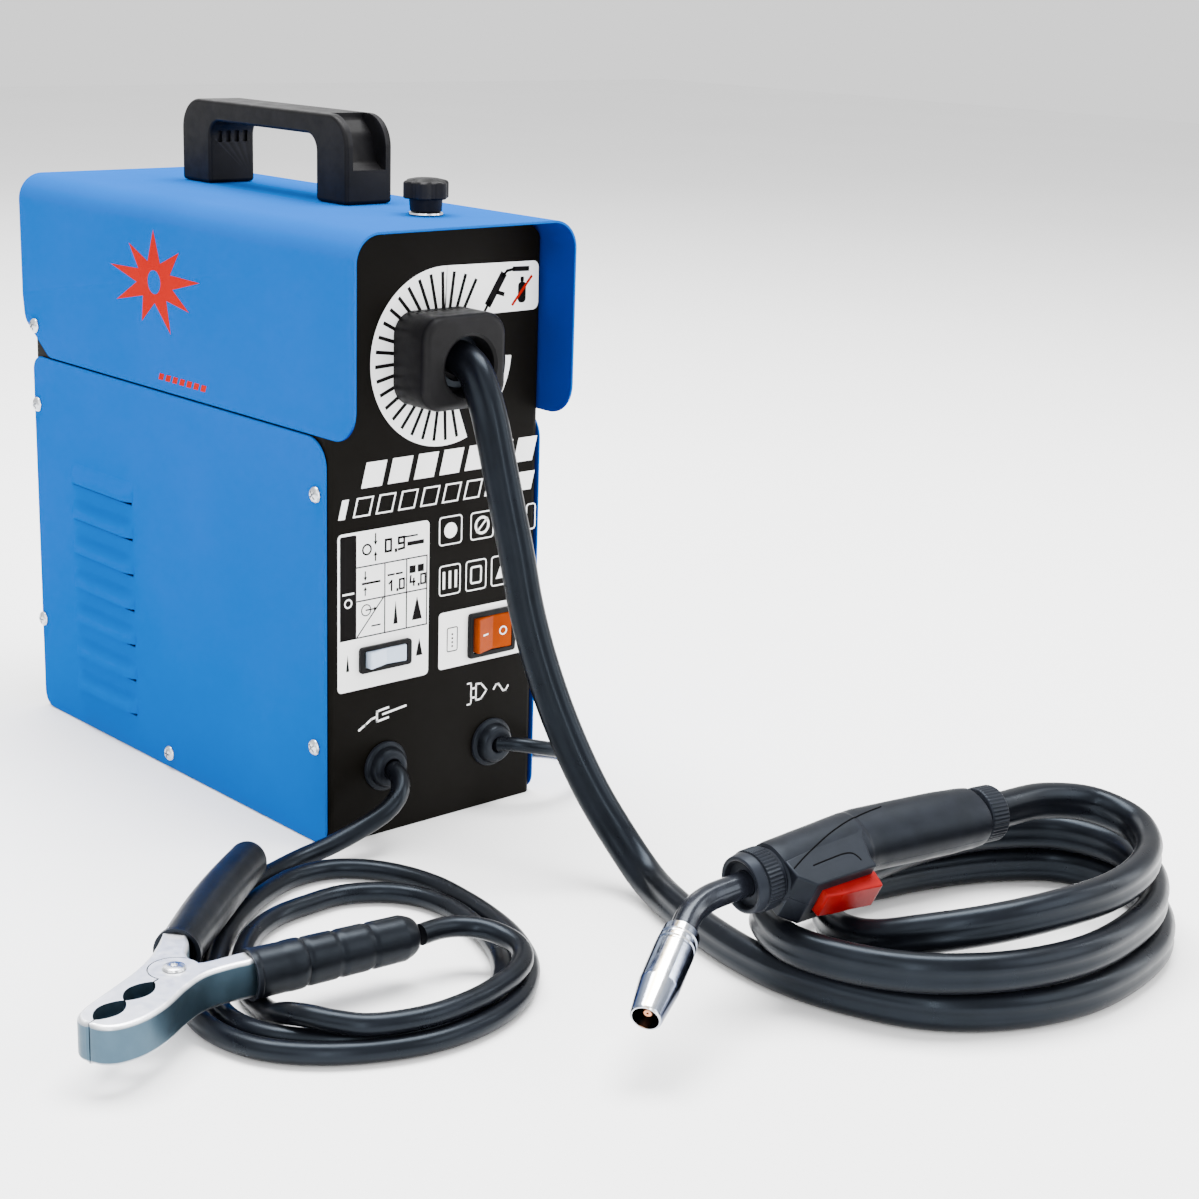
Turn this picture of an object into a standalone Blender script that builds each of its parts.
"""A compact wire-feed (flux-core MIG) welding machine with its torch, earth clamp and mains cord.

The frame: the front control panel faces -Y, +X is to the right seen from the front, +Z is up, and
the origin is the centre of the case's underside. Driving dimensions are millimetres; place() turns
them into Blender's metres.
"""

import math

import bmesh
import bpy
from mathutils import Euler, Matrix, Vector

MM = 0.001
GAP = 0.3  # between pieces that touch

# Case
HALF_OUT = 70.35  # outer face of the cover and of the side panels
SKIN = 1.2
HALF_IN = HALF_OUT - SKIN
CHASSIS_HALF = 68.6
CHASSIS_SHEET = 1.5
FRONT_Y = -147.5
BACK_Y = 147.5
PANEL_TOP = 316.0
SPLIT_Z = 216.4  # where the cover meets the side panels
SPLIT_HALF = 0.6  # half the slit between them
COVER_FRONT = -172.4
COVER_BACK = 157.1
COVER_TOP = 320.0
COVER_BEND = 15.0
HINGE_Y = 143.0
HINGE_Z = 233.5
LIP_FRONT = 12.0
LIP_BACK = 20.0
LIP_BASE = 12.0

# Front panel fittings, as (x, z)
TORCH_HOLE = (3.8, 250.5)
GLAND_CENTRE = (-2.2, 252.3)
GLAND_HALF = (26.4, 24.0)
GLAND_MOUTH = (0.3, 249.7)
EARTH_HOLE = (-32.5, 37.4)
MAINS_HOLE = (39.1, 35.6)
POWER_SWITCH = (38.0, 98.5)
CURRENT_SWITCH = (-33.0, 98.0)
GROMMET_HOLE_R = 10.0
TORCH_HOLE_R = 15.0
SWITCH_CUT_HALF_WIDTH = 14.4
POWER_CUT_HALF_HEIGHT = 10.9
CURRENT_CUT_HALF_HEIGHT = 5.8
ROCKER_TILT = math.radians(6.0)
ROCKER_PIVOT_Y = -146.0

# Louvres in the side panels
LOUVRES = 7
LOUVRE_TOP_Z = 153.5
LOUVRE_PITCH = 20.8
LOUVRE_Y = (38.0, 106.0)
LOUVRE_DEPTH = 3.4

# Cover knob
KNOB_X, KNOB_Y = 11.0, -122.0
STUD_R = 3.0

# Inside
SHELF_Z = 204.0
SHELF_SHEET = 1.5
CORE_Y = (10.0, 60.0)
FEED_X = 3.8
WIRE_Z = 250.5
DRIVE_Y = -60.0
DRIVE_R = 14.5
PRESSURE_R = 14.6
PRESSURE_Z = 266.0
ARM_PIVOT = (-25.0, 268.0)
SPOOL_Y, SPOOL_Z = 75.0, 262.0
SPOOL_R = 50.0
FAN_Y, FAN_Z = 135.0, 60.0

# Torch: its own frame, +X to the cable, -Z on the trigger's side
TORCH_AT = (-31.5, -408.0, 56.7)
TORCH_TURN = (math.radians(-60.6), math.radians(-3.9), math.radians(-3.8))
HANDLE_BEND_X = 74.0
HANDLE_BEND = math.radians(8.0)
NUT_X = 141.6
NECK_R = 6.0
NECK_ARC_R = 40.0
NECK_ARC = math.radians(36.0)
NECK_ARC_X = -13.7
NECK_TAIL = 6.0
TRIGGER_HINGE = (33.0, -17.0)

# Earth clamp: its own frame, +X along the jaws, +Y on the side of the cable's handle
CLAMP_AT = (-243.0, -282.0, 22.5)
CLAMP_TURN = math.radians(203.0)
CLAMP_HALF_HEIGHT = 9.0
CLAMP_PLATE = 1.7
LOWER_ARM = ((-25.7, 19.9), (-96.1, 61.8))  # where its sleeve starts and ends
UPPER_ARM = ((-33.4, -20.8), (-138.6, -52.4))

# Cords
TORCH_CABLE_R = 9.0
EARTH_CABLE_R = 5.0
MAINS_CORD_R = 4.0

# Routes: centreline points, from the gland outwards
TORCH_ROUTE = (
    (0.5, -161.8, 253.6), (0.4, -168.5, 252.7), (0, -177, 248.4), (-0.8, -185, 239), (-1.4, -192, 226),
    (-1.4, -198, 209), (-0.6, -204.5, 187), (0.6, -212.5, 160), (1.4, -219.5, 135),
    (3.2, -229.5, 108), (6.4, -243, 79), (12.2, -260, 48), (17, -280, 24), (15.5, -301, 11.5),
    (6, -331, 9.5), (-3, -365, 9.5), (-7, -392, 9.5), (-7, -418, 9.5),
    (1, -450, 9.5), (18, -481, 9.5), (47, -503, 9.5), (84, -514, 9.5), (124, -512, 9.5),
    (160, -501, 9.5), (190, -477, 9.5), (206, -444, 9.5), (200, -413, 9.5), (173, -391, 9.5),
    (135, -376, 9.5), (95, -370, 11), (56, -370, 17), (22, -378, 24), (-2, -396, 28.5),
    (-12, -421, 28.5), (-7, -450, 28.5), (10, -478, 28.5), (42, -501, 28.5), (82, -512, 28.5),
    (122, -509, 28.5), (156, -498, 28.5), (186, -475, 28.5), (202, -444, 28.5), (196, -414, 28.5),
    (170, -393, 28.5), (135, -383, 28.5), (95, -382, 28.5), (60, -388, 28.5), (34, -401, 27),
    (20, -421, 26), (18, -444, 30), (28, -467, 38), (50, -487, 44), (82, -499, 47),
    (114, -502, 47.5), (146, -496, 48.5), (170, -483, 49.5), (184, -464, 52), (180, -443, 56),
    (156, -430.5, 60), (121.5, -427.6, 61.6),
)
EARTH_ROUTE = (
    (-32.5, -154.5, 37.4), (-33, -161, 35), (-38, -168, 29.5), (-48, -171, 23), (-63, -169, 16),
    (-80, -166, 10), (-97, -164, 6.5), (-113, -167, 5.3), (-135, -175, 5.3), (-158, -188, 5.3),
    (-182, -207, 5.3), (-205, -232, 5.3), (-223, -258, 5.3), (-232, -281, 5.3), (-233, -302, 5.3),
    (-227, -322, 5.3), (-213, -339, 5.3), (-192, -353, 5.3), (-166, -362, 5.3), (-137, -362, 5.3),
    (-109, -351.5, 5.3), (-87, -331, 5.3), (-73, -305, 5.3), (-66, -279, 5.3), (-63, -253, 5.3),
    (-63, -230, 5.3), (-68, -210, 5.3), (-77, -194, 5.3), (-92, -182, 5.3), (-112, -180, 5.3),
    (-133, -187, 5.3), (-155, -200, 5.3), (-176, -217, 5.3), (-197, -241, 5.3), (-213, -264, 5.3),
    (-220.5, -283, 5.3), (-221.5, -300, 5.3), (-216, -316, 5.3), (-205, -329.5, 5.3),
    (-188, -342, 5.3), (-164, -350.5, 5.3), (-138, -350.5, 5.3), (-115, -341, 5.3), (-97, -324, 5.3),
    (-84, -301, 5.3), (-77, -277, 5.3), (-74.5, -254, 5.3), (-78, -236, 5.3), (-88, -222, 5.3),
    (-106, -212, 5.3), (-126, -211.5, 5.3), (-145, -214, 5.3), (-163, -222.5, 5.3),
    (-179, -237, 5.3), (-192, -255, 5.3), (-201, -274, 5.3), (-205, -290, 5.8), (-208, -304, 8.5),
    (-209, -316, 13.6), (-206.5, -327, 16), (-200, -338, 15.6), (-189.6, -348.2, 14.8),
    (-165, -356.8, 14.6), (-139, -356.5, 14.6), (-122, -352.5, 14.8), (-110, -348, 15.3),
    (-100, -341.5, 16.2), (-94, -332, 17.4), (-94, -320.5, 18.9), (-99, -310.5, 20.4),
    (-107.5, -304.5, 21.6), (-117, -302.4, 22.3), (-128, -302.8, 22.5),
)
MAINS_ROUTE = (
    (39.1, -154.5, 36), (46, -163, 36.5), (56, -169, 34.5), (70, -170.5, 30), (86, -167, 22.5),
    (101, -159, 14.5), (113, -147, 8.5), (120, -133, 5.5), (119, -117, 4.3), (109, -103, 4.3),
    (97, -91, 4.3), (88, -76, 4.3), (83, -58, 4.3), (81.5, -40, 4.3), (81.8, -20, 4.3),
)
TAIL_ROUTE = ((118.6, 66.8, 16), (121.5, 69.6, 17.6), (124.5, 72.5, 18.8), (127.4, 75.4, 19.4))

# The wound-up rest of the mains cord, and its plug
COIL_AT = (130.0, 10.0)
COIL_INNER_R = 27.6
COIL_OUTER_R = 52.4
COIL_Z = (0.25, 16.6)
PLUG_AT = (128.0, 76.0, 19.5)
PLUG_TURN = math.radians(45.0)

SIDES = 24  # round pieces


# ---------------------------------------------------------------- helpers

def clear_scene():
    for thing in list(bpy.data.objects):
        bpy.data.objects.remove(thing, do_unlink=True)


def material(name, colour, roughness, metallic=0.0):
    made = bpy.data.materials.new(name)
    made.use_nodes = True
    shader = made.node_tree.nodes["Principled BSDF"]
    shader.inputs["Base Color"].default_value = (*colour, 1.0)
    shader.inputs["Roughness"].default_value = roughness
    shader.inputs["Metallic"].default_value = metallic
    return made


def place(name, mesh, finish=None, at=(0, 0, 0), parent=None):
    """Makes an object of a mesh that is drawn in millimetres, with its origin at the point at."""
    origin = Vector(at)
    bmesh.ops.recalc_face_normals(mesh, faces=mesh.faces[:])
    bmesh.ops.transform(
        mesh, matrix=Matrix.Scale(MM, 4) @ Matrix.Translation(-origin), verts=mesh.verts[:]
    )
    data = bpy.data.meshes.new(name)
    mesh.to_mesh(data)
    mesh.free()
    data.shade_smooth()
    data.set_sharp_from_angle(angle=math.radians(35))
    made = bpy.data.objects.new(name, data)
    bpy.context.scene.collection.objects.link(made)
    made.location = origin * MM
    made.parent = parent
    if finish:
        data.materials.append(finish)
    return made


def boolean(target, operation, *tools):
    """Adds each tool's shape to the target, or cuts it out, with a hidden helper per tool."""
    for tool in tools:
        helper = place(target.name + "_" + operation.lower(), tool, parent=target.parent)
        helper.hide_render = True
        helper.display_type = "WIRE"
        modifier = target.modifiers.new(operation, "BOOLEAN")
        modifier.operation = operation
        modifier.object = helper
    return target


def cut(target, *tools):
    return boolean(target, "DIFFERENCE", *tools)


def join(target, *tools):
    return boolean(target, "UNION", *tools)


def frame(name, at, turn):
    made = bpy.data.objects.new(name, None)
    bpy.context.scene.collection.objects.link(made)
    made.location = Vector(at) * MM
    made.rotation_euler = Euler(turn, "XYZ")
    return made


def arc(centre, radius, start, end, steps):
    """Points on an arc; the angles are degrees."""
    points = []
    for i in range(steps + 1):
        angle = math.radians(start + (end - start) * i / steps)
        points.append((centre[0] + radius * math.cos(angle), centre[1] + radius * math.sin(angle)))
    return points


def circle(centre, radius, steps=SIDES):
    return arc(centre, radius, 0, 360, steps)[:-1]


def rounded(corners, steps=5):
    """An outline whose corners (u, v, radius) are rounded."""
    points = []
    for i, (u, v, radius) in enumerate(corners):
        corner = Vector((u, v))
        if radius <= 0:
            points.append(tuple(corner))
            continue
        before = (Vector(corners[i - 1][:2]) - corner).normalized()
        after = (Vector(corners[(i + 1) % len(corners)][:2]) - corner).normalized()
        half = before.angle(after) / 2
        reach = radius / math.tan(half)
        centre = corner + (before + after).normalized() * (radius / math.sin(half))
        first = corner + before * reach - centre
        last = corner + after * reach - centre
        sweep = first.angle_signed(last)
        for k in range(steps + 1):
            turned = first.copy()
            turned.rotate(Matrix.Rotation(-sweep * k / steps, 2))
            points.append(tuple(centre + turned))
    return points


def rectangle(u0, u1, v0, v1, radius=0.0, steps=5):
    return rounded([(u0, v0, radius), (u1, v0, radius), (u1, v1, radius), (u0, v1, radius)], steps)


def spatial(axis, u, v, w):
    """The point (u, v) of a plane across the axis, w along it."""
    return {"X": (w, u, v), "Y": (u, w, v), "Z": (u, v, w)}[axis]


def prism(axis, outline, start, end, mesh=None):
    """An outline in the plane across an axis, pushed along it."""
    mesh = mesh or bmesh.new()
    base = mesh.faces.new([mesh.verts.new(spatial(axis, u, v, start)) for u, v in outline])
    pushed = bmesh.ops.extrude_face_region(mesh, geom=[base])
    shift = Vector(spatial(axis, 0, 0, end - start))
    moved = [item for item in pushed["geom"] if isinstance(item, bmesh.types.BMVert)]
    bmesh.ops.translate(mesh, vec=shift, verts=moved)
    return mesh


def block(x0, x1, y0, y1, z0, z1, mesh=None):
    return prism("Z", rectangle(x0, x1, y0, y1), z0, z1, mesh)


def turned(profile, centre=(0, 0, 0), along=(1, 0, 0), sides=SIDES, mesh=None):
    """A closed profile of (distance along the axis, radius) spun round an axis through centre."""
    mesh = mesh or bmesh.new()
    axis = Vector(along).normalized()
    side = axis.orthogonal().normalized()
    other = axis.cross(side)
    rings = []
    for distance, radius in profile:
        middle = Vector(centre) + axis * distance
        if radius <= 0:
            rings.append([mesh.verts.new(middle)] * sides)
            continue
        ring = []
        for k in range(sides):
            angle = 2 * math.pi * k / sides
            outward = side * math.cos(angle) + other * math.sin(angle)
            ring.append(mesh.verts.new(middle + outward * radius))
        rings.append(ring)
    count = len(rings)
    for i in range(count):
        first, second = rings[i], rings[(i + 1) % count]
        for k in range(sides):
            corners = [first[k], first[(k + 1) % sides], second[(k + 1) % sides], second[k]]
            different = list(dict.fromkeys(corners))
            if len(different) > 2:
                mesh.faces.new(different)
    return mesh


def rod(centre, along, start, end, radius, sides=SIDES, mesh=None):
    return turned([(start, 0), (start, radius), (end, radius), (end, 0)], centre, along, sides, mesh)


def ring(centre, along, start, end, inner, outer, sides=SIDES):
    profile = [(start, inner), (start, outer), (end, outer), (end, inner)]
    return turned(profile, centre, along, sides)


def smooth_route(points, spacing):
    """Evenly spaced points on a smooth curve through the route's points."""
    route = [Vector(point) for point in points]
    knots = [0.0]
    for before, after in zip(route, route[1:]):
        knots.append(knots[-1] + math.sqrt((after - before).length))
    slopes = []
    for i in range(len(route)):
        low, high = max(i - 1, 0), min(i + 1, len(route) - 1)
        if low == i or high == i:
            slopes.append((route[high] - route[low]) / (knots[high] - knots[low]))
            continue
        h0, h1 = knots[i] - knots[low], knots[high] - knots[i]
        arriving = (route[i] - route[low]) / h0
        leaving = (route[high] - route[i]) / h1
        slopes.append((arriving * h1 + leaving * h0) / (h0 + h1))
    fine = []
    for i in range(len(route) - 1):
        h = knots[i + 1] - knots[i]
        for k in range(24):
            s = k / 24
            fine.append(
                route[i] * (2 * s**3 - 3 * s**2 + 1) + slopes[i] * (h * (s**3 - 2 * s**2 + s))
                + route[i + 1] * (3 * s**2 - 2 * s**3) + slopes[i + 1] * (h * (s**3 - s**2))
            )
    fine.append(route[-1])
    lengths = [0.0]
    for before, after in zip(fine, fine[1:]):
        lengths.append(lengths[-1] + (after - before).length)
    count = max(2, round(lengths[-1] / spacing))
    spaced, k = [], 0
    for i in range(count + 1):
        wanted = lengths[-1] * i / count
        while k < len(fine) - 2 and lengths[k + 1] < wanted:
            k += 1
        span = lengths[k + 1] - lengths[k]
        spaced.append(fine[k].lerp(fine[k + 1], (wanted - lengths[k]) / span))
    return spaced


def cord(name, route, radius, spacing, finish):
    data = bpy.data.curves.new(name, "CURVE")
    data.dimensions = "3D"
    data.bevel_depth = radius * MM
    data.bevel_resolution = 2
    data.use_fill_caps = True
    data.materials.append(finish)
    spaced = smooth_route(route, spacing)
    line = data.splines.new("POLY")
    line.points.add(len(spaced) - 1)
    for point, place_of in zip(line.points, spaced):
        point.co = (*(place_of * MM), 1.0)
    made = bpy.data.objects.new(name, data)
    bpy.context.scene.collection.objects.link(made)
    return made


def loft(sections, mesh=None):
    """Closed rings of equal count, joined one after another, with flat ends."""
    mesh = mesh or bmesh.new()
    rings = [[mesh.verts.new(point) for point in section] for section in sections]
    for first, second in zip(rings, rings[1:]):
        for k in range(len(first)):
            after = (k + 1) % len(first)
            mesh.faces.new([first[k], first[after], second[after], second[k]])
    mesh.faces.new(rings[0])
    mesh.faces.new(rings[-1])
    return mesh


# ---------------------------------------------------------------- case

def make_chassis(finish):
    top_r = COVER_BEND - 1.5
    outline = rounded([
        (-CHASSIS_HALF, 0, 3), (CHASSIS_HALF, 0, 3),
        (CHASSIS_HALF, PANEL_TOP, top_r), (-CHASSIS_HALF, PANEL_TOP, top_r),
    ])
    chassis = place("chassis", prism("Y", outline, FRONT_Y, BACK_Y), finish)
    plan = rectangle(-CHASSIS_HALF, CHASSIS_HALF, FRONT_Y, BACK_Y, 3.5, 4)
    boolean(chassis, "INTERSECT", prism("Z", plan, -5, PANEL_TOP + 5))
    inner_half = CHASSIS_HALF - CHASSIS_SHEET
    inside = rectangle(
        -inner_half, inner_half, FRONT_Y + CHASSIS_SHEET, BACK_Y - CHASSIS_SHEET, 2, 3
    )
    cut(chassis, prism("Z", inside, CHASSIS_SHEET, PANEL_TOP + 10))
    window = rounded([
        (FRONT_Y + LIP_FRONT, LIP_BASE, 4), (BACK_Y - LIP_BACK, LIP_BASE, 4),
        (BACK_Y - LIP_BACK, PANEL_TOP + 20, 0), (FRONT_Y + LIP_FRONT, PANEL_TOP + 20, 0),
    ], 3)
    cut(chassis, prism("X", window, -CHASSIS_HALF - 5, CHASSIS_HALF + 5))
    join(chassis, knob_bracket())
    cut(chassis, front_openings(), rear_openings(), hinge_holes())
    cut(chassis, knob_slot())
    return chassis


def knob_bracket():
    """The tab behind the front panel that the cover's knob screws into."""
    return block(KNOB_X - 14, KNOB_X + 14, FRONT_Y + 1, KNOB_Y + 12, 305, 308)


def knob_slot():
    slot = rounded([
        (KNOB_X - 3.6, KNOB_Y - 3.6, 3.5), (KNOB_X + 3.6, KNOB_Y - 3.6, 3.5),
        (KNOB_X + 3.6, KNOB_Y + 5.6, 3.5), (KNOB_X - 3.6, KNOB_Y + 5.6, 3.5),
    ], 4)
    return prism("Z", slot, 300, 314)


def front_openings():
    near, far = FRONT_Y - 5, FRONT_Y + CHASSIS_SHEET + 5
    tool = prism("Y", circle(TORCH_HOLE, TORCH_HOLE_R), near, far)
    for centre in (EARTH_HOLE, MAINS_HOLE):
        prism("Y", circle(centre, GROMMET_HOLE_R), near, far, tool)
    wide = SWITCH_CUT_HALF_WIDTH
    switches = ((POWER_SWITCH, POWER_CUT_HALF_HEIGHT), (CURRENT_SWITCH, CURRENT_CUT_HALF_HEIGHT))
    for (x, z), half in switches:
        opening = rectangle(x - wide, x + wide, z - half, z + half)
        prism("Y", opening, near, far, tool)
    return tool


def rear_openings():
    """Five round-ended slots in front of the fan."""
    tool = bmesh.new()
    for i in range(5):
        z = FAN_Z + (i - 2) * 12.0
        prism("Y", rectangle(-28, 28, z - 2.5, z + 2.5, 2.4, 4), BACK_Y - 6, BACK_Y + 5, tool)
    return tool


def hinge_holes():
    return rod((0, HINGE_Y, HINGE_Z), (1, 0, 0), -CHASSIS_HALF - 5, CHASSIS_HALF + 5, 2.4, 16)


def louvre(y0, y1, z, face, depth, inset, side):
    """One pressed louvre: a hood that is open downwards. inset makes the hollow inside it."""
    half = 5.6 - inset
    low = z - half if inset == 0 else z - half - 3
    root = face - side * (0.6 if inset == 0 else 3)
    sections = []
    stations = (
        (y0 + inset, 0.35), (y0 + 3 + inset, 0.85), (y0 + 8, 1),
        (y1 - 8, 1), (y1 - 3 - inset, 0.85), (y1 - inset, 0.35),
    )
    for y, reach in stations:
        out = face + side * (depth - inset) * reach
        shoulder = face + side * (depth - inset) * reach * 0.72
        sections.append([
            (root, y, z + half), (face, y, z + half), (shoulder, y, z + half * 0.25),
            (out, y, z - half * 0.45), (out, y, low), (root, y, low),
        ])
    return sections


def make_side_panel(name, side, finish):
    outline = rounded([
        (FRONT_Y, 0.4, 9), (BACK_Y, 0.4, 9),
        (BACK_Y, SPLIT_Z - SPLIT_HALF, 9), (FRONT_Y, SPLIT_Z - SPLIT_HALF, 15),
    ])
    panel = place(name, prism("X", outline, side * HALF_IN, side * HALF_OUT), finish)
    hoods, hollows = bmesh.new(), bmesh.new()
    for i in range(LOUVRES):
        z = LOUVRE_TOP_Z - i * LOUVRE_PITCH
        loft(louvre(*LOUVRE_Y, z, side * HALF_OUT, LOUVRE_DEPTH, 0, side), hoods)
        loft(louvre(*LOUVRE_Y, z, side * HALF_OUT, LOUVRE_DEPTH, 1, side), hollows)
    join(panel, hoods)
    cut(panel, hollows)
    return panel


def make_cover(finish):
    """An inverted U of sheet that overhangs the front panel."""
    hinge = (0, HINGE_Y, HINGE_Z)
    low = SPLIT_Z + SPLIT_HALF
    outer = rounded([
        (-HALF_OUT, low, 0), (HALF_OUT, low, 0),
        (HALF_OUT, COVER_TOP, COVER_BEND), (-HALF_OUT, COVER_TOP, COVER_BEND),
    ], 8)
    inner_top = COVER_TOP - SKIN
    inner_bend = COVER_BEND - SKIN
    inner = rounded([
        (-HALF_IN, SPLIT_Z - 10, 0), (HALF_IN, SPLIT_Z - 10, 0),
        (HALF_IN, inner_top, inner_bend), (-HALF_IN, inner_top, inner_bend),
    ], 8)
    cover = place("top_cover", prism("Y", outer, COVER_FRONT, COVER_BACK), finish, hinge)
    cut(cover, prism("Y", inner, COVER_FRONT - 5, COVER_BACK + 5))
    flange = rounded([
        (COVER_FRONT, low, 17), (128, low, 8), (155, 236, 9), (COVER_BACK, 250, 3),
        (COVER_BACK, COVER_TOP + 5, 0), (COVER_FRONT, COVER_TOP + 5, 0),
    ])
    boolean(cover, "INTERSECT", prism("X", flange, -HALF_OUT - 5, HALF_OUT + 5))
    stud_hole = rod((KNOB_X, KNOB_Y, 0), (0, 0, 1), 310, 330, STUD_R + 0.4, 16)
    cut(cover, hinge_pin_holes(), stud_hole)
    return cover


def hinge_pin_holes():
    return rod((0, HINGE_Y, HINGE_Z), (1, 0, 0), -HALF_OUT - 5, HALF_OUT + 5, 2.4, 16)


def make_hinge_screw(name, side, finish):
    centre = (0, HINGE_Y, HINGE_Z)
    under = HALF_OUT + GAP
    profile = [
        (62, 0), (62, 1.8), (62.4, 2.0), (under, 2.0), (under, 4.2),
        (HALF_OUT + 1.4, 4.0), (HALF_OUT + 2.3, 2.6), (HALF_OUT + 2.6, 0),
    ]
    return place(name, turned(profile, centre, (side, 0, 0), 24), finish, centre)


def make_carry_handle(finish):
    foot = COVER_TOP + GAP
    top = 366.5
    grip_under = 355.0
    side_view = rounded([
        (-70.7, foot, 0.8), (-70.7, top, 17), (89.6, top, 17), (89.6, foot, 0.8),
        (60.5, foot, 0.8), (60.5, grip_under, 9), (-42.7, grip_under, 9), (-42.7, foot, 0.8),
    ], 6)
    handle = place("carry_handle", prism("X", side_view, -2, 28), finish, (13, 9, foot))
    pocket = rounded([
        (-80, 338, 0), (-67.6, 338, 0), (-63, 341, 2), (-58, 356, 6), (-52, 362.6, 3),
        (-52, 375, 0), (-80, 375, 0),
    ], 4)
    cut(handle, prism("X", pocket, 1.6, 24.4))
    return handle


def make_knob(finish, steel):
    """The fluted knob with its stud, and the washer under it."""
    centre = (KNOB_X, KNOB_Y)
    head = []
    for i in range(36):
        angle = 2 * math.pi * i / 36
        reach = 11.4 + 1.1 * max(-0.75, math.cos(6 * angle))
        head.append((centre[0] + reach * math.cos(angle), centre[1] + reach * math.sin(angle)))
    knob = place("cover_knob", prism("Z", head, 328.5, 337.5), finish, (*centre, 322))
    base = (*centre, 0)
    up = (0, 0, 1)
    profile = [
        (303.4, 0), (303.4, 2.4), (304.2, STUD_R), (321.7, STUD_R), (321.7, 7.9), (328.6, 8.6),
        (329.5, 8.6), (329.5, 0),
    ]
    join(knob, turned(profile, base, up, 28))
    profile = [(336.9, 0), (336.9, 9.4), (338.4, 8.2), (338.9, 4), (339, 0)]
    join(knob, turned(profile, base, up, 28))
    washer = ring(base, up, 320.3, 321.4, STUD_R + 0.35, 9)
    place("knob_washer", washer, steel, (*centre, 320.8))


# ---------------------------------------------------------------- front fittings

def make_torch_gland(finish, rubber):
    x, z = TORCH_HOLE
    front = -174.0
    root = FRONT_Y - GAP
    middle_x, middle_z = GLAND_CENTRE
    stations = (
        (root, 0, 12), (front + 7, 0, 12), (front + 3, 1, 11.5), (front + 0.9, 2.6, 11),
        (front, 5, 10),
    )
    sections = []
    for y, less, radius in stations:
        wide, tall = GLAND_HALF[0] - less, GLAND_HALF[1] - less
        outline = rectangle(
            middle_x - wide, middle_x + wide, middle_z - tall, middle_z + tall, radius, 4
        )
        sections.append([(u, y, v) for u, v in outline])
    gland = place("torch_gland", loft(sections), finish)
    along = (0, 1, 0)
    mouth = (GLAND_MOUTH[0], 0, GLAND_MOUTH[1])
    join(gland, rod((x, 0, z), along, root - 1, -140, TORCH_HOLE_R - GAP))
    cut(gland, rod(mouth, along, front - 5, -157.5, 15, 32))
    cut(gland, rod(mouth, along, -160, -130, 5, 20))
    relief = place("torch_strain_relief", rod(mouth, along, -163.5, -157.8, 14.6, 32), rubber)
    cut(relief, rod((0.5, 0, 252.8), along, -170, -150, TORCH_CABLE_R + 1.3, 24))


def make_grommet(name, centre, cord_radius, finish):
    x, z = centre
    root = FRONT_Y - GAP
    bore = cord_radius + 0.9
    neck = GROMMET_HOLE_R - GAP
    profile = [
        (-154.0, bore), (-154.0, 9.4), (-152.6, 12.2), (-149.6, 13.4), (root, 13.5),
        (root, neck), (-143, neck), (-143, bore),
    ]
    return place(name, turned(profile, (x, 0, z), (0, 1, 0)), finish)


def make_switch(name, centre, half_height, flange, dark, colour):
    """A bezel with its housing, and the rocker in it, at rest on one of its two stops."""
    x, z = centre
    left, right, low, high = flange
    root = FRONT_Y - GAP
    plate = rectangle(left, right, low, high, 1.6, 3)
    bezel = place(name + "_bezel", prism("Y", plate, -149.9, root), dark)
    wide = SWITCH_CUT_HALF_WIDTH - GAP
    tall = half_height - GAP
    join(bezel, prism("Y", rectangle(x - wide, x + wide, z - tall, z + tall), root - 1, -139))
    opening = rectangle(x - 13.5, x + 13.5, z - tall + 0.6, z + tall - 0.6)
    cut(bezel, prism("Y", opening, -160, -140.5))
    half = tall - 1.0
    outline = [
        (-12.6, -5.5), (0, -3.2), (12.6, -5.5), (12.0, -1), (10.5, 3), (3, 4), (-3, 4),
        (-10.5, 3), (-12.0, -1),
    ]
    points = []
    for u, v in outline:
        points.append((
            x + u * math.cos(ROCKER_TILT) - v * math.sin(ROCKER_TILT),
            ROCKER_PIVOT_Y + u * math.sin(ROCKER_TILT) + v * math.cos(ROCKER_TILT),
        ))
    place(name + "_rocker", prism("Z", points, z - half, z + half), colour, (x, ROCKER_PIVOT_Y, z))


# ---------------------------------------------------------------- power parts

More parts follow.
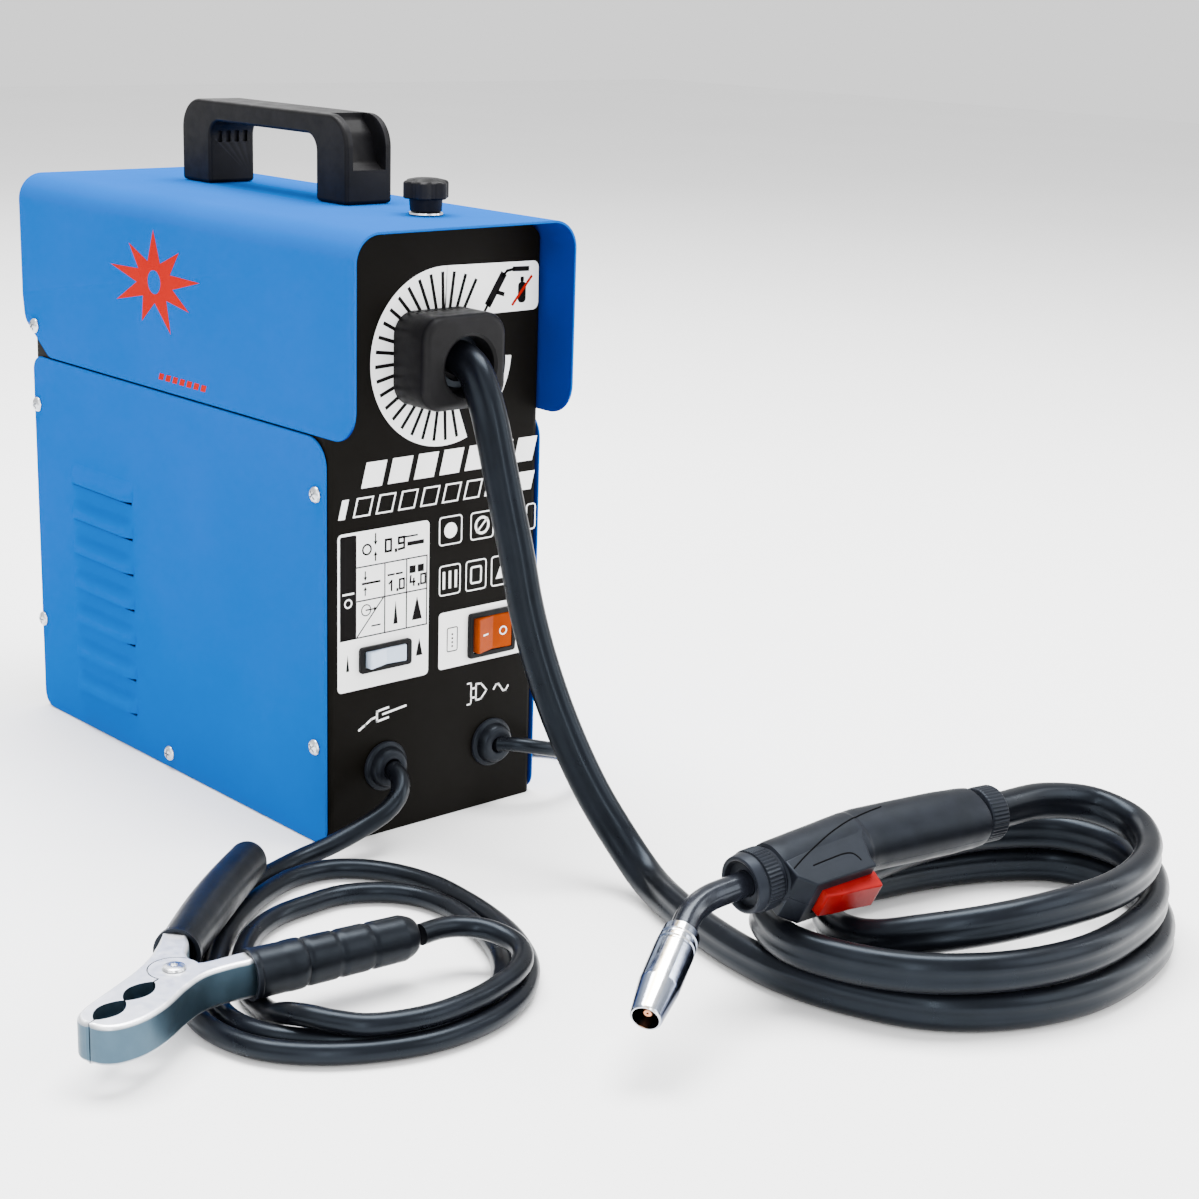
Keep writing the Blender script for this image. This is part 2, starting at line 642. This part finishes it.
def make_power_parts(finishes):
    steel, copper, grey, board = finishes
    shelf_outline = rectangle(-66, 66, FRONT_Y + 2, BACK_Y - 2, 3, 2)
    place("shelf", prism("Z", shelf_outline, SHELF_Z, SHELF_Z + SHELF_SHEET), steel)
    core = place("transformer_core", prism("Y", rectangle(-48, 48, 3, 83), *CORE_Y), steel)
    for side in (-1, 1):
        left, right = sorted((side * 16, side * 32))
        window = rectangle(left, right, 19, 67)
        cut(core, prism("Y", window, CORE_Y[0] - 5, CORE_Y[1] + 5))
    for name, low, high in (("primary_winding", 20.3, 42), ("secondary_winding", 44, 66)):
        winding = place(name, prism("Z", rectangle(-31.6, 31.6, -5, 75, 12), low, high), copper)
        leg = rectangle(-16.4, 16.4, CORE_Y[0] - 0.4, CORE_Y[1] + 0.4)
        cut(winding, prism("Z", leg, low - 5, high + 5))
    profile = [(3, 12), (3, 26), (6, 28), (32, 28), (35, 26), (35, 12)]
    place("output_choke", turned(profile, (0, -45, 0), (0, 0, 1)), copper)
    make_heatsink(grey)
    bridge = rectangle(18, 46, -36, -8, 2, 2)
    place("rectifier_bridge", prism("Z", bridge, 186, 198.4), board)
    card = place("control_board", block(-55, 55, -115, -113.4, 120, 190), board)
    for x0, x1, depth, z0, z1 in ((-48, -24, 18, 128, 150), (-10, 8, 14, 150, 176), (22, 46, 10, 126, 140)):
        join(card, block(x0, x1, -113.8, -113.4 + depth, z0, z1))


def make_heatsink(finish):
    """A plate under the shelf, with fins on its left part and a flat land for the bridge."""
    top, land, tips = 203.7, 198.7, 150.0
    outline = [(-50, top), (50, top), (50, land)]
    for i in range(7, -1, -1):
        x = -50 + i * 8.0
        outline += [(x + 2, land), (x + 2, tips), (x, tips)]
        if i:
            outline.append((x, land))
    place("heatsink", prism("Y", outline, -60, 20), finish)


def make_fan(dark):
    square = rectangle(-40, 40, FAN_Z - 40, FAN_Z + 40, 4, 3)
    body = place("fan_frame", prism("Y", square, 125, 145.5), dark)
    cut(body, rod((0, 0, FAN_Z), (0, 1, 0), 115, 155, 37))
    join(body, rod((0, 0, FAN_Z), (0, 1, 0), 142, 145.2, 15))
    for angle in (45, 135):
        strut = block(-39, 39, 142.4, 144.8, -2, 2)
        bmesh.ops.transform(
            strut,
            matrix=Matrix.Translation((0, 0, FAN_Z)) @ Matrix.Rotation(math.radians(angle), 4, "Y"),
            verts=strut.verts[:],
        )
        join(body, strut)
    hub = rod((0, 0, FAN_Z), (0, 1, 0), 127, 141.3, 14)
    rotor = place("fan_rotor", hub, dark, (0, FAN_Y, FAN_Z))
    for i in range(7):
        blade = block(-1, 1, -7, 6, 12, 35.3)
        turn = Matrix.Rotation(2 * math.pi * i / 7, 4, "Y") @ Matrix.Rotation(math.radians(35), 4, "Z")
        bmesh.ops.transform(
            blade, matrix=Matrix.Translation((0, FAN_Y - 0.6, FAN_Z)) @ turn, verts=blade.verts[:]
        )
        join(rotor, blade)


# ---------------------------------------------------------------- wire feed

def make_wire_feed(steel, dark, brass, wire):
    plate_outline = rounded([
        (-110, 206, 2), (100, 206, 2), (100, 285, 10), (80, 300, 10), (-100, 300, 10),
        (-110, 290, 5),
    ], 3)
    plate = place("feed_plate", prism("X", plate_outline, -12, -9), steel)
    axis_z = WIRE_Z - DRIVE_R
    axle = (0, DRIVE_Y, axis_z)
    cut(plate, rod(axle, (1, 0, 0), -20, 0, 6.6, 20))
    profile = [
        (-64, 0), (-64, 17), (-62, 20), (-22, 20), (-22, 19), (-12.4, 19), (-12.4, 6), (-4, 6),
        (-4, 0),
    ]
    place("feed_motor", turned(profile, axle, (1, 0, 0)), dark)
    profile = [
        (-3.6, 0), (-3.6, 14), (2.2, DRIVE_R), (FEED_X, DRIVE_R - 0.9), (5.4, DRIVE_R),
        (9, DRIVE_R), (9, 8), (11.5, 8), (11.5, 0),
    ]
    place("drive_roll", turned(profile, axle, (1, 0, 0)), steel, (FEED_X, DRIVE_Y, axis_z))
    make_pressure_arm(steel, dark)
    for name, y0, y1 in (("inlet_guide", -45, -16), ("outlet_guide", -108, -76)):
        guide = place(name, prism("Y", rectangle(-8.7, 8.6, 245, 256.5, 1, 2), y0, y1), brass)
        cut(guide, rod((FEED_X, 0, WIRE_Z), (0, 1, 0), y0 - 5, y1 + 5, 1.4, 12))
    make_spool(steel, dark, wire)


def make_pressure_arm(steel, dark):
    pivot_y = ARM_PIVOT[0]
    side_view = rounded([
        (pivot_y + 9, 258.5, 6), (pivot_y + 9, 277, 6), (-96, 277, 3), (-96, 266, 3),
        (-75, 258.5, 3),
    ], 3)
    arm = place("pressure_arm", prism("X", side_view, -8.6, -3.2), steel, (0, *ARM_PIVOT))
    join(arm, rod((0, DRIVE_Y, PRESSURE_Z), (1, 0, 0), -4, 11, 3, 16))
    join(arm, block(-8.6, 12, -96, -80, 270, 277))
    roller = ring((0, DRIVE_Y, PRESSURE_Z), (1, 0, 0), -2.4, 9.4, 3.35, PRESSURE_R, 32)
    place("pressure_roller", roller, steel, (FEED_X, DRIVE_Y, PRESSURE_Z))
    profile = [(277.3, 0), (277.3, 5), (280, 5), (280, 8.4), (290, 7.6), (290, 0)]
    centre = (FEED_X, -88, 0)
    place("tension_knob", turned(profile, centre, (0, 0, 1), 20), dark, (FEED_X, -88, 280))


def make_spool(steel, dark, wire):
    centre = (0, SPOOL_Y, SPOOL_Z)
    along = (1, 0, 0)
    profile = [(-8.7, 0), (-8.7, 15), (-5.5, 15), (-5.5, 7.7), (44, 7.7), (44, 0)]
    place("spool_spindle", turned(profile, centre, along, 24), dark)
    profile = [
        (-3, 8.1), (-3, SPOOL_R), (-0.5, SPOOL_R), (-0.5, 20), (39.5, 20), (39.5, SPOOL_R),
        (42, SPOOL_R), (42, 8.1),
    ]
    place("wire_spool", turned(profile, centre, along, 32), dark, (20, SPOOL_Y, SPOOL_Z))
    place("wire_coil", ring(centre, along, -0.2, 39.2, 20.3, 44, 32), wire, (20, SPOOL_Y, SPOOL_Z))
    profile = [(42.6, 8.1), (42.6, 12), (53, 11), (53, 0), (44.4, 0), (44.4, 8.1)]
    place("spool_nut", turned(profile, centre, along, 24), dark)


# ---------------------------------------------------------------- torch

def handle_centre(x):
    """The height of the handle's centreline at x: straight, then bent towards the trigger's side."""
    return 0.0 if x <= HANDLE_BEND_X else -(x - HANDLE_BEND_X) * math.tan(HANDLE_BEND)


def handle_section(x, half_width, top, bottom, count=20):
    points = []
    middle = handle_centre(x)
    for i in range(count):
        angle = 2 * math.pi * i / count
        across, up = math.cos(angle), math.sin(angle)
        y = half_width * math.copysign(abs(across) ** 0.85, across)
        z = (top if up > 0 else bottom) * math.copysign(abs(up) ** 0.85, up)
        points.append((x, y, middle + z))
    return points


HANDLE_SHAPE = (  # x, half width, height above and below the centreline
    (16.3, 14.0, 14.2, 14.6), (22, 14.2, 14.4, 20.0), (26, 14.2, 14.6, 21.6), (58, 14.2, 15.0, 22.4),
    (64, 14.2, 15.1, 18.6), (74, 14.2, 15.2, 16.2), (110, 14.2, 15.2, 15.4), (139.4, 13.4, 14.0, 14.0),
)


def make_torch(dark, black, red, chrome, copper):
    place_in = frame("torch_frame", TORCH_AT, TORCH_TURN)
    profile = [(0, 6.4), (0, 13.2), (1.4, 14.5), (14.6, 14.5), (16, 13.2), (16, 6.4)]
    place("torch_collar", turned(profile), black, parent=place_in)
    for name, side in (("torch_handle_left", -1), ("torch_handle_right", 1)):
        make_handle_half(name, side, black, place_in)
    make_trigger(red, place_in)
    tail = Vector((NUT_X, 0, handle_centre(NUT_X)))
    along = (math.cos(HANDLE_BEND), 0, -math.sin(HANDLE_BEND))
    profile = [(0, 9.7), (0, 13.0), (1.5, 13.6), (9.5, 13.6), (11, 12.4), (11, 9.7)]
    place("torch_cable_nut", turned(profile, tail, along), black, parent=place_in)
    make_neck_and_nozzle(dark, chrome, copper, place_in)


def make_handle_half(name, side, finish, place_in):
    outer = [handle_section(*row) for row in HANDLE_SHAPE]
    half = place(name, loft(outer), finish, parent=place_in)
    near, far = sorted((side * GAP / 2, side * 20))
    boolean(half, "INTERSECT", block(10, 150, near, far, -60, 60))
    inner = [handle_section(x, w - 2.4, t - 2.4, b - 2.4) for x, w, t, b in HANDLE_SHAPE]
    inner.insert(0, handle_section(5, 11.6, 11.8, 12.2))
    inner.append(handle_section(160, 11.0, 11.6, 11.6))
    cut(half, loft(inner))
    cut(half, block(28.5, 66, -8.2, 8.2, -40, -10))
    return half


def make_trigger(finish, place_in):
    hinge_x, hinge_z = TRIGGER_HINGE
    side_view = rounded([
        (29.3, -13.5, 1.5), (29.3, -25, 2), (40, -27.5, 5), (52, -29.6, 5), (60.8, -30, 2.5),
        (62, -13.5, 1.5),
    ], 4)
    body = prism("Y", side_view, -7.5, 7.5)
    place("torch_trigger", body, finish, (hinge_x, 0, hinge_z), place_in)


def neck_path():
    points = [Vector((20.0, 0, 0))]
    for i in range(9):
        angle = NECK_ARC * i / 8
        points.append(Vector((
            NECK_ARC_X - NECK_ARC_R * math.sin(angle), 0, -NECK_ARC_R * (1 - math.cos(angle))
        )))
    along = Vector((-math.cos(NECK_ARC), 0, -math.sin(NECK_ARC)))
    points.append(points[-1] + along * NECK_TAIL)
    return points, along


def make_neck_and_nozzle(dark, chrome, copper, place_in):
    points, along = neck_path()
    across = Vector((0, 1, 0))
    sections = []
    for i, point in enumerate(points):
        ahead = (points[min(i + 1, len(points) - 1)] - points[max(i - 1, 0)]).normalized()
        up = ahead.cross(across)
        outline = circle((0, 0), NECK_R, 16)
        sections.append([point + across * u + up * v for u, v in outline])
    place("torch_neck", loft(sections), dark, parent=place_in)
    start = points[-1] + along * GAP
    profile = [
        (0, 0), (0, 7.6), (1.5, 8.6), (8, 8.6), (9.5, 9), (34, 9), (51.5, 7.1), (52, 6.8),
        (52, 5.8), (36, 7.2), (10, 7.2), (10, 0),
    ]
    place("torch_nozzle", turned(profile, start, along), chrome, parent=place_in)
    profile = [(10.3, 0), (10.3, 3.6), (22, 3.6), (23, 3), (44, 3), (48.5, 2), (49, 1.6), (49, 0)]
    place("contact_tip", turned(profile, start, along, 20), copper, parent=place_in)


# ---------------------------------------------------------------- earth clamp

def jaw_notch(side):
    """Half of the 8-shaped opening between the jaws, on one side of the parting line."""
    start, length, steps = 14.5, 40.0, 12
    points = []
    for i in range(steps + 1):
        height = 0.4 + 5.2 * abs(math.sin(2 * math.pi * i / steps)) ** 0.8
        points.append((start + length * i / steps, side * height))
    return points


def make_clamp(chrome, black, steel):
    place_in = frame("clamp_frame", CLAMP_AT, (0, 0, CLAMP_TURN))
    make_lower_jaw(chrome, place_in)
    make_upper_jaw(chrome, place_in)
    ear = CLAMP_HALF_HEIGHT
    profile = [
        (-ear - 1.8, 0), (-ear - 1.8, 4), (-ear - GAP, 5.2), (-ear - GAP, 2.8),
        (ear + GAP, 2.8), (ear + GAP, 5.2), (ear + 1.8, 4), (ear + 1.8, 0),
    ]
    place("clamp_pin", turned(profile, (0, 0, 0), (0, 0, 1), 24), steel, parent=place_in)
    place("clamp_spring", ring((0, 0, 0), (0, 0, 1), -5, 5, 3.6, 7, 24), steel, parent=place_in)
    make_sleeve("clamp_lower_sleeve", *LOWER_ARM, 10.5, black, place_in)
    make_sleeve("clamp_upper_sleeve", *UPPER_ARM, 10.0, black, place_in)


def arm_stub(start, end):
    """The round end of an arm that a sleeve is pushed over."""
    first, last = Vector((*start, 0)), Vector((*end, 0))
    along = (last - first).normalized()
    return rod(first, along, -7, 22, 6, 20)


def make_lower_jaw(chrome, place_in):
    high = CLAMP_HALF_HEIGHT
    line = 0.2
    outline = jaw_notch(1)
    outline += [
        (58.5, line), (58.0, 6), (54.5, 12), (44.5, 16.4), (30, 17.2), (10, 14), (-3, 14.5),
        (-14, 19), (-22.8, 24.4), (-27.9, 14.6), (-17.5, 9.2), (-11.8, 5.6), (-9, line), (8, line),
    ]
    jaw = place("clamp_lower_jaw", prism("Z", outline, -high, high), chrome, parent=place_in)
    join(jaw, prism("Z", circle((0, 0), 11), -high, high))
    cut(jaw, prism("Z", circle((0, 0), 12, 28), -high + CLAMP_PLATE, high - CLAMP_PLATE))
    cut(jaw, prism("Z", circle((0, 0), 3.1, 14), -high - 3, high + 3))
    join(jaw, arm_stub(*LOWER_ARM))
    return jaw


def make_upper_jaw(chrome, place_in):
    high = CLAMP_HALF_HEIGHT
    line = -0.2
    outline = jaw_notch(-1)
    outline += [
        (58.5, line), (57.6, -5), (54, -9), (47, -11.2), (30, -12.5), (8, -14.5), (-6, -20),
        (-18, -30), (-30.4, -27), (-33.0, -15.6), (-25, -10), (-15.5, -4.5), (-12.5, line), (8, line),
    ]
    jaw = place("clamp_upper_jaw", prism("Z", outline, -high, high), chrome, parent=place_in)
    inner = high - CLAMP_PLATE - 0.4
    for low, top in ((-high - 3, -inner), (inner, high + 3)):
        cut(jaw, prism("Z", circle((0, 0), 11.6, 28), low, top))
    join(jaw, prism("Z", circle((0, 0), 10, 24), -inner, inner))
    cut(jaw, prism("Z", circle((0, 0), 7.4, 20), -5.4, 5.4))
    cut(jaw, prism("Z", circle((0, 0), 3.1, 14), -high - 3, high + 3))
    join(jaw, arm_stub(*UPPER_ARM))
    return jaw


def make_sleeve(name, start, end, radius, finish, place_in):
    first, last = Vector((*start, 0)), Vector((*end, 0))
    along = (last - first).normalized()
    length = (last - first).length
    profile = [
        (0, 6.3), (0, radius - 0.6), (1, radius), (length * 0.3, radius - 0.3),
        (length * 0.7, radius), (length - 4, radius), (length - 1, radius - 1.4),
        (length, radius - 3.5), (length, 0), (23, 0), (23, 6.3),
    ]
    return place(name, turned(profile, first, along, 20), finish, parent=place_in)


# ---------------------------------------------------------------- cords

def make_cords(black):
    cord("torch_cable", TORCH_ROUTE, TORCH_CABLE_R, 24, black)
    cord("earth_cable", EARTH_ROUTE, EARTH_CABLE_R, 19, black)
    cord("mains_cord", MAINS_ROUTE, MAINS_CORD_R, 14, black)
    cord("mains_tail", TAIL_ROUTE, MAINS_CORD_R, 4, black)
    coil = ring((*COIL_AT, 0), (0, 0, 1), *COIL_Z, COIL_INNER_R, COIL_OUTER_R, 32)
    place("mains_coil", coil, black)
    make_plug(black)


def make_plug(finish):
    along = (math.cos(PLUG_TURN), math.sin(PLUG_TURN), 0)
    profile = [(0, 0), (0, 6), (14, 9), (20, 15), (34, 18.5), (38, 18.8), (38, 0)]
    plug = place("mains_plug", turned(profile, PLUG_AT, along), finish)
    side = Vector((-along[1], along[0], 0))
    for offset in (-9.5, 9.5):
        join(plug, rod(Vector(PLUG_AT) + side * offset, along, 36, 57, 2.4, 14))


# ---------------------------------------------------------------- the machine

def main():
    clear_scene()
    blue = material("blue_paint", (0.0, 0.27, 0.68), 0.28)
    panel_black = material("panel_black", (0.012, 0.011, 0.01), 0.42)
    plastic = material("black_plastic", (0.016, 0.015, 0.016), 0.5)
    rubber = material("black_rubber", (0.014, 0.016, 0.022), 0.45)
    steel = material("zinc_steel", (0.62, 0.63, 0.66), 0.3, 1.0)
    chrome = material("chrome", (0.8, 0.82, 0.85), 0.14, 1.0)
    copper = material("copper", (0.72, 0.36, 0.2), 0.35, 1.0)
    brass = material("brass", (0.78, 0.6, 0.3), 0.35, 1.0)
    orange = material("orange_plastic", (0.68, 0.12, 0.01), 0.25)
    pale = material("pale_plastic", (0.6, 0.68, 0.8), 0.3)
    red = material("red_plastic", (0.65, 0.03, 0.03), 0.35)
    board = material("circuit_board", (0.02, 0.16, 0.08), 0.5)
    grey = material("aluminium", (0.6, 0.6, 0.62), 0.4, 1.0)
    neck_black = material("neck_black", (0.03, 0.03, 0.035), 0.4)

    make_chassis(panel_black)
    make_side_panel("left_side_panel", -1, blue)
    make_side_panel("right_side_panel", 1, blue)
    make_cover(blue)
    make_hinge_screw("hinge_screw_left", -1, steel)
    make_hinge_screw("hinge_screw_right", 1, steel)
    make_carry_handle(plastic)
    make_knob(plastic, steel)
    make_torch_gland(plastic, rubber)
    make_grommet("earth_gland", EARTH_HOLE, EARTH_CABLE_R, rubber)
    make_grommet("mains_gland", MAINS_HOLE, MAINS_CORD_R, rubber)
    make_switch("power", POWER_SWITCH, POWER_CUT_HALF_HEIGHT, (22, 54, 86, 111), plastic, orange)
    bezel = (-49.5, -16.5, 91, 105)
    make_switch("current", CURRENT_SWITCH, CURRENT_CUT_HALF_HEIGHT, bezel, plastic, pale)
    make_power_parts((steel, copper, grey, board))
    make_fan(plastic)
    make_wire_feed(steel, plastic, brass, steel)
    make_torch(neck_black, plastic, red, chrome, copper)
    make_clamp(chrome, rubber, steel)
    make_cords(rubber)


main()
